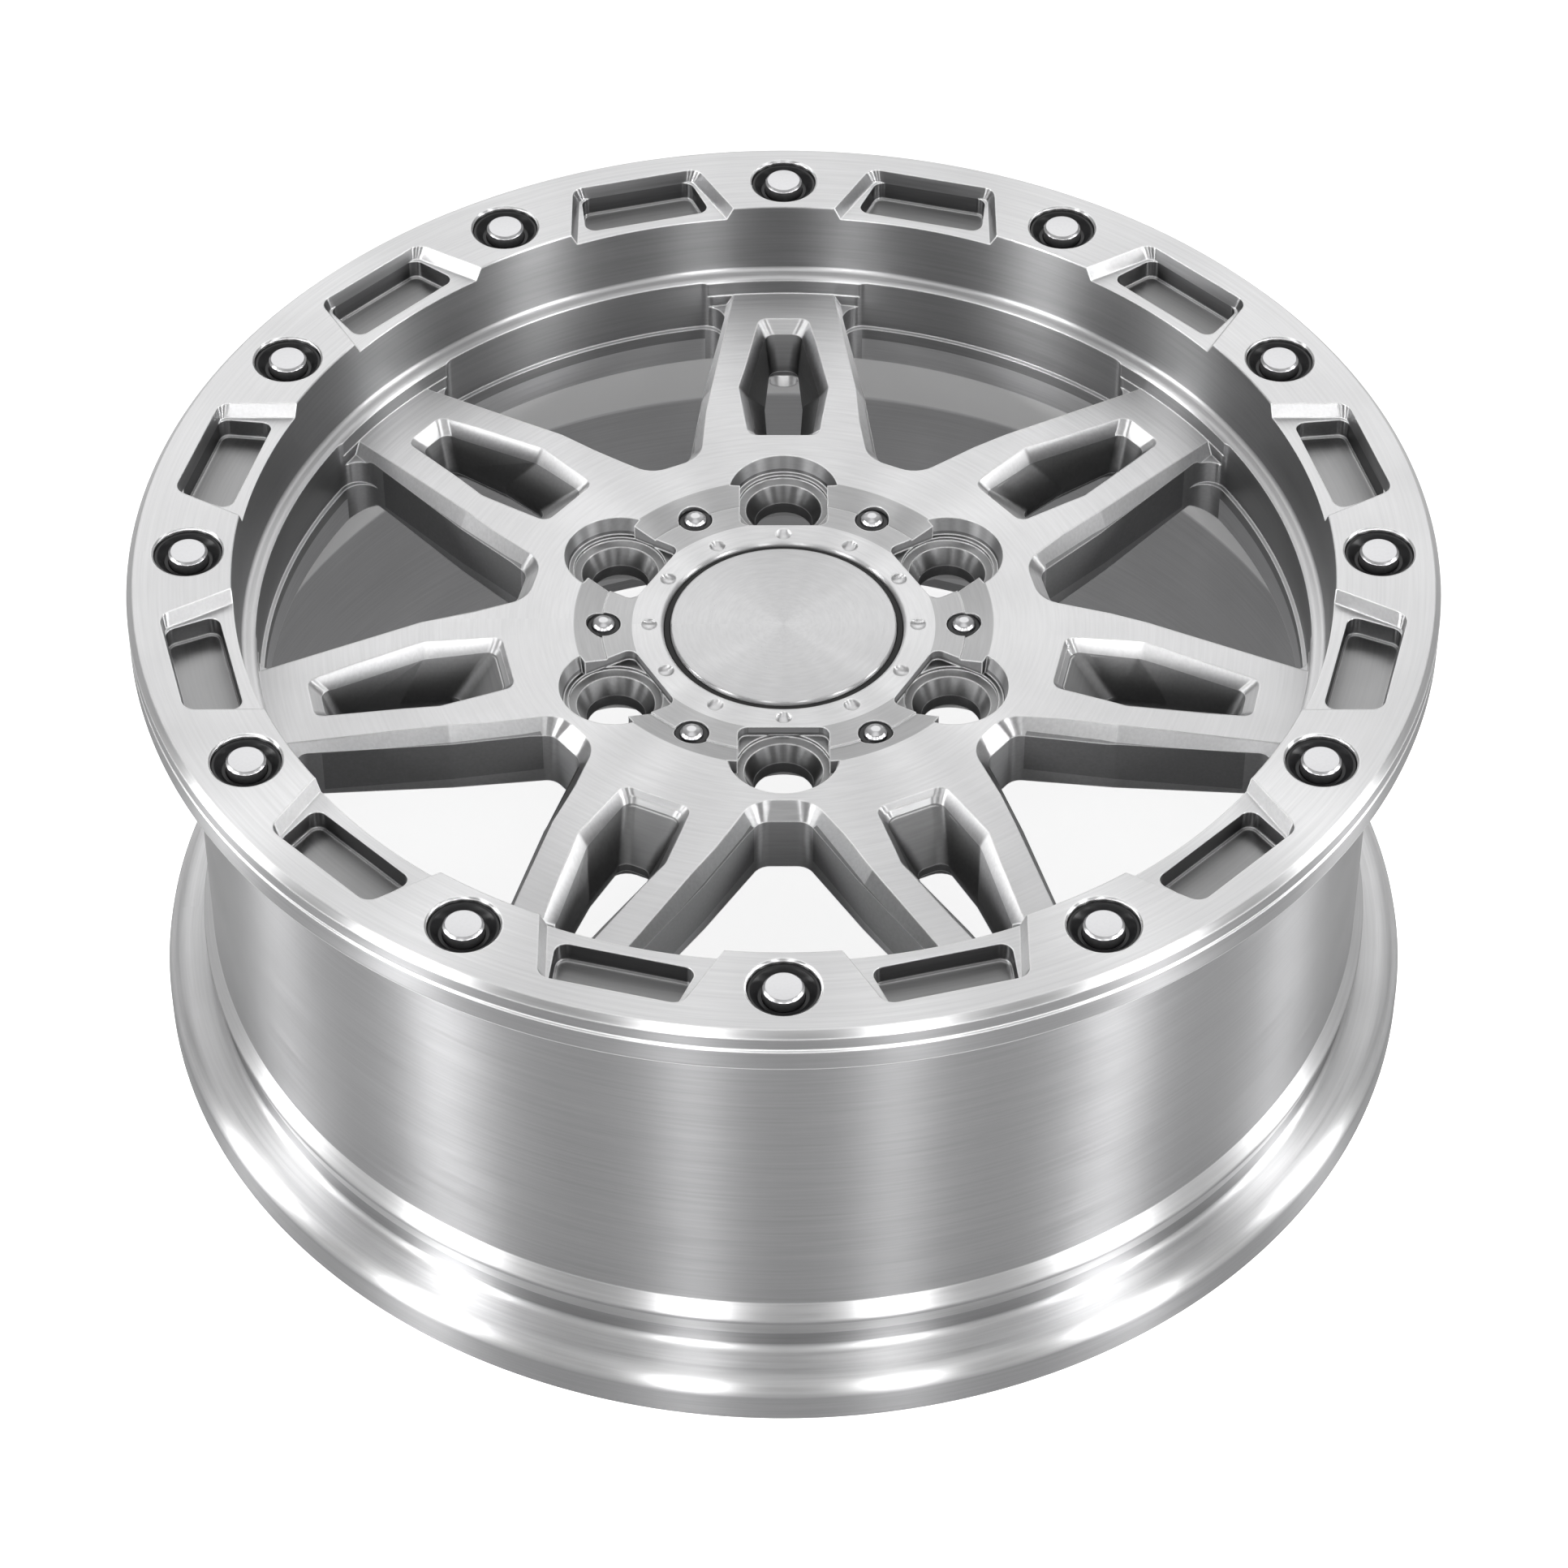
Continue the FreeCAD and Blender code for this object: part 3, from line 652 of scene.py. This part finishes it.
# %% The cap and its seal
CAP_STEPS = 192
CAP_RADIUS = 41.2
CAP_UNDERSIDE = COLLAR - 3.6
SKIRT_FOOT = 12.0
SKIRT_OUTSIDE = 37.9
SKIRT_INSIDE = 34.9
SEAL_FOOT = CAP_SEAT + 0.05
SEAL_TOP = 24.8
cap_section = rounded([
    (0, COLLAR, 0), (CAP_RADIUS, COLLAR, 0.7), (CAP_RADIUS, CAP_SEAT + 0.1, 0.3),
    (SKIRT_OUTSIDE, CAP_SEAT + 0.1, 0), (SKIRT_OUTSIDE, SKIRT_FOOT, 0.3),
    (SKIRT_INSIDE, SKIRT_FOOT, 0.3), (SKIRT_INSIDE, CAP_UNDERSIDE, 0.5), (0, CAP_UNDERSIDE, 0)], 4)
cap = turned("centre_cap_disc", cap_section, CAP_STEPS, closed=False)
seal_section = rounded([
    (CAP_RADIUS + 0.1, SEAL_FOOT, 0), (CAP_RADIUS + 0.1, SEAL_TOP, 0.4),
    (CAP_RECESS - 0.1, SEAL_TOP, 0.4), (CAP_RECESS - 0.1, SEAL_FOOT, 0)], 4)
seal = turned("cap_black_seal", seal_section, CAP_STEPS)

for piece, node, finish, angle in (
    (bolts, "ring_bolts", "polished_steel", 30),
    (cups, "ring_bolt_cups", "black_anodised", 40),
    (screws, "hub_screws", "polished_steel", 30),
    (washers, "hub_screw_washers", "black_anodised", 30),
    (cap, "centre_cap", "turned_aluminium", 30),
    (seal, "cap_seal", "black_rubber", 30),
):
    choose(piece)
    bpy.ops.object.shade_smooth_by_angle(angle=math.radians(angle))
    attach(piece, "root")
    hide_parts(node)
    print(piece.name, len(piece.data.polygons), "faces")
spring_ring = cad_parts["cap_spring_ring"]

# %% [markdown]
# ## Finishes
#
# Bare aluminium keeps the marks of the tool, so a finish here is mostly arithmetic on the place
# of the point being shaded. A picture of brushed metal could be wrapped round the wheel, but it
# would stretch and blur; nodes stay sharp at any distance. Math, range, mix and noise nodes get a
# helper each. Place is read as radius, angle and height, as on a lathe.

# %% Helpers for materials
def new_material(name):
    """Empty material with nodes, and its Principled shader."""
    material = bpy.data.materials.new(name)
    material.use_nodes = True
    nodes = material.node_tree.nodes
    return material, nodes, material.node_tree.links, nodes["Principled BSDF"]


def math_node(nodes, links, operation, first, second=None, clamp=False):
    """A Math node; first and second are sockets or numbers."""
    node = nodes.new("ShaderNodeMath")
    node.operation = operation
    node.use_clamp = clamp
    for socket, value in zip(node.inputs, (first, second)):
        if isinstance(value, (int, float)):
            socket.default_value = value
        elif value is not None:
            links.new(value, socket)
    return node.outputs[0]


def spread(nodes, links, value, low, high, start=0.0, end=1.0):
    """Map start..end onto low..high, and hold it there outside."""
    node = nodes.new("ShaderNodeMapRange")
    links.new(value, node.inputs["Value"])
    node.inputs["From Min"].default_value = start
    node.inputs["From Max"].default_value = end
    node.inputs["To Min"].default_value = low
    node.inputs["To Max"].default_value = high
    return node.outputs["Result"]


def mix(nodes, links, factor, first, second, blend_type="MIX"):
    """Mix two colours; each value is a socket, a number or a colour."""
    node = nodes.new("ShaderNodeMix")
    node.data_type = "RGBA"
    node.blend_type = blend_type
    for name, value in (("Factor", factor), ("A", first), ("B", second)):
        if isinstance(value, bpy.types.NodeSocket):
            links.new(value, node.inputs[name])
        else:
            node.inputs[name].default_value = value
    return node.outputs["Result"]


def grain(nodes, links, vector, scale, detail=3.0):
    """Noise, read at a vector."""
    noise = nodes.new("ShaderNodeTexNoise")
    noise.inputs["Scale"].default_value = scale
    noise.inputs["Detail"].default_value = detail
    links.new(vector, noise.inputs["Vector"])
    return noise.outputs["Fac"]


def ring_coordinates(nodes, links):
    """Position, radius, angle and height about the wheel's axis, from Object coordinates."""
    place = nodes.new("ShaderNodeTexCoord").outputs["Object"]
    split = nodes.new("ShaderNodeSeparateXYZ")
    links.new(place, split.inputs[0])
    x, y, z = split.outputs
    squares = math_node(nodes, links, "ADD", math_node(nodes, links, "MULTIPLY", x, x),
                        math_node(nodes, links, "MULTIPLY", y, y))
    radius = math_node(nodes, links, "SQRT", squares)
    angle = math_node(nodes, links, "ARCTAN2", y, x)
    return place, radius, angle, z


# %% [markdown]
# ## Where the mill has been, and painted light and shade
#
# The lathe leaves smooth metal; the mill leaves duller walls, slopes and pocket floors. The colour
# there carries painted light and shade: darker in the spoke pockets, ring pockets, lug pockets and
# hub recess, lighter on the milled walls and inside the barrel. These places could be picked face
# by face and given a material of their own. Masks made from radius, height and slope are simpler,
# because they follow the sizes on the drawing.

# %% Masks for the milled places and for painted light and shade
MILLED_RADIUS = 189.8
SLOPE_RADII = (102.5, 176.0)
SLOPE_LEVELS = (12.0, 29.9)
SLOPE_LEAN = 0.05
LUG_ZONE = ((45.0, 93.5), (-200.0, 23.5))
HUB_RECESS_ZONE = ((55.3, 76.5), (23.5, 200.0))
RING_POCKET_ZONE = ((200.0, 222.8), (44.8, 56.8))
BARREL_INSIDE_ZONE = ((MILLED_RADIUS, 212.5), (-200.0, 5.0))


def within(nodes, links, value, low, high):
    """1 where a value in metres lies between two millimetre limits, else 0."""
    return math_node(nodes, links, "MULTIPLY",
                     math_node(nodes, links, "GREATER_THAN", value, low * MM),
                     math_node(nodes, links, "LESS_THAN", value, high * MM))


def zone(nodes, links, radius, height, limits):
    """1 inside a ring of the wheel, given by its radii and heights, else 0."""
    return math_node(nodes, links, "MULTIPLY", within(nodes, links, radius, *limits[0]),
                     within(nodes, links, height, *limits[1]))


def milled_walls(nodes, links, radius, level):
    """1 on upright walls inside the ring."""
    upright = math_node(nodes, links, "SUBTRACT", 1.0, level)
    return math_node(nodes, links, "MULTIPLY",
                     within(nodes, links, radius, -1000.0, MILLED_RADIUS), upright)


def milled_slopes(nodes, links, radius, height):
    """1 below the bevels of the spoke pockets, whose edge falls as the radius grows."""
    below = math_node(nodes, links, "ADD", height,
                      math_node(nodes, links, "MULTIPLY", radius, SLOPE_LEAN))
    return math_node(nodes, links, "MULTIPLY", within(nodes, links, radius, *SLOPE_RADII),
                     within(nodes, links, below, *SLOPE_LEVELS))


def painted_light_and_shade(nodes, links, radius, height, walls, slopes):
    """Painted light and shade by place: darker pockets and recesses, lighter walls and barrel."""
    tone = 1.0
    # Painted shade on the spoke pockets' slopes and in the ring pockets; painted light on the milled
    # walls and inside the barrel.
    for mask, change in (
        (slopes, -0.45),
        (walls, 0.40),
        (zone(nodes, links, radius, height, RING_POCKET_ZONE), -0.45),
        (zone(nodes, links, radius, height, BARREL_INSIDE_ZONE), 1.1),
    ):
        tone = math_node(nodes, links, "ADD", tone,
                         math_node(nodes, links, "MULTIPLY", mask, change))
    # Painted shade in the lug pockets and the hub recess.
    for limits, change in ((LUG_ZONE, -0.5), (HUB_RECESS_ZONE, -0.30)):
        mask = zone(nodes, links, radius, height, limits)
        share = math_node(nodes, links, "ADD", 1.0,
                          math_node(nodes, links, "MULTIPLY", mask, change))
        tone = math_node(nodes, links, "MULTIPLY", tone, share)
    return tone


# %% [markdown]
# ## Brushed aluminium
#
# Fine rings round the axis stretch every reflection across them, so the light fans out from the
# centre. Modelling the rings would take millions of faces. Noise drawn out along the rings gives
# the grain, an anisotropic gloss with its tangent along them gives the fan, and the Bevel node
# finds the edges: there a pale, more matt colour is a painted highlight, a thin line of light.
# Upright faces get a darker colour than level ones, which is painted shade.

# %% The brushed finish
def painted_edge_highlight(nodes, links, bevelled, normal):
    """1 at an edge, where the bevelled normal leaves the true one."""
    facing = nodes.new("ShaderNodeVectorMath")
    facing.operation = "DOT_PRODUCT"
    links.new(bevelled, facing.inputs[0])
    links.new(normal, facing.inputs[1])
    return spread(nodes, links, facing.outputs["Value"], 0.0, 1.0, 0.998, 0.95)


def brush_lines(nodes, links, radius, angle, height):
    """Noise much finer across the turned rings than along them."""
    rings = nodes.new("ShaderNodeCombineXYZ")
    for socket, value, density in zip(rings.inputs, (radius, angle, height), (900.0, 5.0, 900.0)):
        links.new(math_node(nodes, links, "MULTIPLY", value, density), socket)
    return grain(nodes, links, rings.outputs[0], 1.0, 4.0)


def brushed_aluminium(name, face_tone, wall_painted_shade_tone, roughness, anisotropy):
    """Turned and milled aluminium, with painted light and shade and a painted edge highlight."""
    material, nodes, links, shader = new_material(name)
    place, radius, angle, height = ring_coordinates(nodes, links)
    lines = brush_lines(nodes, links, radius, angle, height)
    clouds = grain(nodes, links, place, 28.0, 4.0)

    geometry = nodes.new("ShaderNodeNewGeometry")
    split = nodes.new("ShaderNodeSeparateXYZ")
    links.new(geometry.outputs["Normal"], split.inputs[0])
    upward = math_node(nodes, links, "ABSOLUTE", split.outputs[2])
    level = spread(nodes, links, upward, 0.0, 1.0, 0.15, 0.75)
    walls = milled_walls(nodes, links, radius, level)
    slopes = milled_slopes(nodes, links, radius, height)

    bevel = nodes.new("ShaderNodeBevel")
    bevel.samples = 6
    bevel.inputs["Radius"].default_value = 0.8 * MM
    edge = painted_edge_highlight(nodes, links, bevel.outputs["Normal"], geometry.outputs["Normal"])

    # Painted shade: upright faces get the darker colour, level faces the lighter one.
    tone = mix(nodes, links, level, (*wall_painted_shade_tone, 1), (*face_tone, 1))
    # Painted light and shade by place, multiplied with the grain.
    shade = math_node(nodes, links, "MULTIPLY", spread(nodes, links, lines, 0.80, 1.12),
                      painted_light_and_shade(nodes, links, radius, height, walls, slopes))
    metal = mix(nodes, links, 1.0, tone, shade, "MULTIPLY")
    # Painted highlight: along the edges the colour turns pale and the metal less metallic.
    links.new(mix(nodes, links, edge, metal, (0.97, 0.97, 0.97, 1)), shader.inputs["Base Color"])
    links.new(spread(nodes, links, edge, 1.0, 0.45), shader.inputs["Metallic"])

    rough = math_node(nodes, links, "ADD", spread(nodes, links, lines, -0.06, 0.06),
                      spread(nodes, links, clouds, roughness - 0.06, roughness + 0.06))
    milled = math_node(nodes, links, "MAXIMUM", walls, slopes)
    rough = math_node(nodes, links, "ADD", rough,
                      math_node(nodes, links, "MULTIPLY", milled, 0.3))
    links.new(rough, shader.inputs["Roughness"])

    bump = nodes.new("ShaderNodeBump")
    bump.inputs["Strength"].default_value = 0.12
    bump.inputs["Distance"].default_value = 0.05 * MM
    links.new(lines, bump.inputs["Height"])
    links.new(bevel.outputs["Normal"], bump.inputs["Normal"])
    links.new(bump.outputs["Normal"], shader.inputs["Normal"])

    tangent = nodes.new("ShaderNodeTangent")
    tangent.direction_type = "RADIAL"
    tangent.axis = "Z"
    links.new(tangent.outputs[0], shader.inputs["Tangent"])
    shader.inputs["Anisotropic"].default_value = anisotropy
    shader.inputs["Anisotropic Rotation"].default_value = 0.25
    return material


# The second colour of each finish is the painted shade of its upright faces.
wheel_finish = brushed_aluminium(
    "brushed_aluminium", (0.78, 0.78, 0.785), (0.27, 0.27, 0.274), 0.38, 0.94)
cap_finish = brushed_aluminium(
    "turned_aluminium", (0.60, 0.60, 0.605), (0.42, 0.42, 0.424), 0.31, 0.92)
print("brushed finish:", len(wheel_finish.node_tree.nodes), "nodes")

# %% [markdown]
# ## Steel, black metal and rubber
#
# The bolts and screws are polished steel, their cups and washers near-black metal, the seal
# rubber, and the spring ring bare wire. Flat colours would look like plastic toys, so each gets
# fine noise in its colour and its roughness.

# %% Steel and black finishes
def plain_finish(name, colour, roughness, metallic, grain_scale, change):
    """A finish with fine grain in its colour and roughness."""
    material, nodes, links, shader = new_material(name)
    place = nodes.new("ShaderNodeTexCoord").outputs["Object"]
    speckle = grain(nodes, links, place, grain_scale)
    darker = (*[c * (1 - change) for c in colour], 1)
    lighter = (*[c * (1 + change) for c in colour], 1)
    links.new(mix(nodes, links, speckle, darker, lighter), shader.inputs["Base Color"])
    links.new(spread(nodes, links, speckle, roughness - 0.08, roughness + 0.08),
              shader.inputs["Roughness"])
    shader.inputs["Metallic"].default_value = metallic
    return material


steel_finish = plain_finish("polished_steel", (0.66, 0.66, 0.67), 0.32, 1.0, 900.0, 0.08)
# Near-black cups and washers make the dark rings round the bolts and screws.
black_finish = plain_finish("black_anodised", (0.010, 0.010, 0.011), 0.38, 0.0, 1500.0, 0.3)
rubber_finish = plain_finish("black_rubber", (0.012, 0.012, 0.012), 0.6, 0.0, 1500.0, 0.3)
wire_finish = plain_finish("spring_steel", (0.45, 0.45, 0.46), 0.35, 1.0, 900.0, 0.1)

for piece, finish in (
    (wheel, wheel_finish), (cap, cap_finish), (bolts, steel_finish), (screws, steel_finish),
    (cups, black_finish), (washers, black_finish), (seal, rubber_finish),
    (spring_ring, wire_finish),
):
    piece.data.materials.clear()
    piece.data.materials.append(finish)
    print(piece.name, "has", finish.name)

# %% [markdown]
# ## The floor and the room
#
# The wheel lies on a plain pale floor in a white room. More lamps could make them white, but they
# would burn out the metal. The Light Path node is kinder: it tells which rays come from the
# camera, and only those see full white. Mirrored rays see a grey room, because a bare metal in a
# wholly white one has no shape. The floor keeps a real surface too, so the wheel shades it.

# %% The floor
def seen_and_mirrored(nodes, links):
    """Rays that see a thing straight or through glass, and rays that see it mirrored."""
    rays = nodes.new("ShaderNodeLightPath").outputs
    seen = math_node(nodes, links, "ADD", rays["Is Camera Ray"], rays["Is Transmission Ray"],
                     clamp=True)
    return seen, rays["Is Glossy Ray"]


bpy.ops.object.select_all(action="DESELECT")
bpy.ops.mesh.primitive_plane_add(size=30, location=(0, 0, FLOOR * MM - 0.0002))
floor = bpy.context.object
floor.name = "floor"
floor_material, nodes, links, shader = new_material("floor_white")
shader.inputs["Base Color"].default_value = (0.70, 0.70, 0.70, 1)
shader.inputs["Roughness"].default_value = 0.9
shader.inputs["Specular IOR Level"].default_value = 0.0
shine = nodes.new("ShaderNodeEmission")
seen, mirrored = seen_and_mirrored(nodes, links)
links.new(math_node(nodes, links, "ADD", math_node(nodes, links, "MULTIPLY", seen, 0.80),
                    math_node(nodes, links, "MULTIPLY", mirrored, 0.28)),
          shine.inputs["Strength"])
total = nodes.new("ShaderNodeAddShader")
links.new(shader.outputs[0], total.inputs[0])
links.new(shine.outputs[0], total.inputs[1])
links.new(total.outputs[0], nodes["Material Output"].inputs["Surface"])
floor.data.materials.append(floor_material)
print("floor at height", round(floor.location.z, 4))

# %% The world
ROOM_LIGHT = 0.22
world = bpy.data.worlds.new("white_studio")
bpy.context.scene.world = world
world.use_nodes = True
nodes, links = world.node_tree.nodes, world.node_tree.links
background = nodes["Background"]
background.inputs["Color"].default_value = (1, 1, 1, 1)
seen, mirrored = seen_and_mirrored(nodes, links)
links.new(math_node(nodes, links, "ADD", spread(nodes, links, seen, ROOM_LIGHT, 1.0),
                    math_node(nodes, links, "MULTIPLY", mirrored, 0.06)),
          background.inputs["Strength"])
print("room light", ROOM_LIGHT)

# %% [markdown]
# ## The lamps
#
# Metal shows what is round it, so its light comes from shapes worth reflecting. One wide panel
# stands behind, where the level faces mirror it towards the camera, and a small one hangs above.
# Six tall strips stand round the front and sides, and each draws one upright band on the barrel.

# %% Panels and strips
STRIP_DISTANCE = 1.35
STRIP_HEIGHT = 0.9


def panel(name, place, aim, width, height, power):
    """Rectangular soft lamp that faces a point."""
    lamp = bpy.data.lights.new(name, "AREA")
    lamp.shape = "RECTANGLE"
    lamp.size = width
    lamp.size_y = height
    lamp.energy = power
    holder = bpy.data.objects.new(name, lamp)
    bpy.context.scene.collection.objects.link(holder)
    holder.location = place
    holder.rotation_euler = (Vector(aim) - Vector(place)).to_track_quat("-Z", "Y").to_euler()
    return holder


panel("back_panel", (0.0, 1.5, 1.5), (0, 0, 0), 2.3, 1.8, 13)
panel("top_panel", (0.0, -0.3, 2.2), (0, 0, 0), 1.6, 1.0, 5)
strips = [
    (-178, 0.22, 8), (-144, 0.22, 13), (-104, 0.16, 6), (-73, 0.16, 6), (-38, 0.22, 12), (-2, 0.22, 8),
]
for turn, width, power in strips:
    x = STRIP_DISTANCE * math.cos(math.radians(turn))
    y = STRIP_DISTANCE * math.sin(math.radians(turn))
    panel("strip_%d" % turn, (x, y, 0.32), (0, 0, 0.25), width, STRIP_HEIGHT, power)
print("lamps:", 2 + len(strips))

# %% [markdown]
# ## The camera
#
# A long lens from almost two metres looks down at about 45 degrees, as on the photo. Its place
# was found from the ring's outline and its twelve bolts, whose true circle is known. The view
# transform is Standard, so that a colour shows as it was written.

# %% Camera and view
camera = bpy.data.cameras.new("camera")
camera.sensor_width = 36.0
camera.lens = 120.3
camera_holder = bpy.data.objects.new("camera", camera)
bpy.context.scene.collection.objects.link(camera_holder)
eye = Vector((0.0, -1.39776, 1.32840))
aim = Vector((0.00013, -0.11485, 0.058))
camera_holder.location = eye
camera_holder.rotation_euler = (aim - eye).to_track_quat("-Z", "Y").to_euler()
camera.clip_start = 0.05
camera.clip_end = 60
bpy.context.scene.camera = camera_holder
bpy.context.scene.view_settings.view_transform = "Standard"
print("camera at", [round(v, 3) for v in eye])
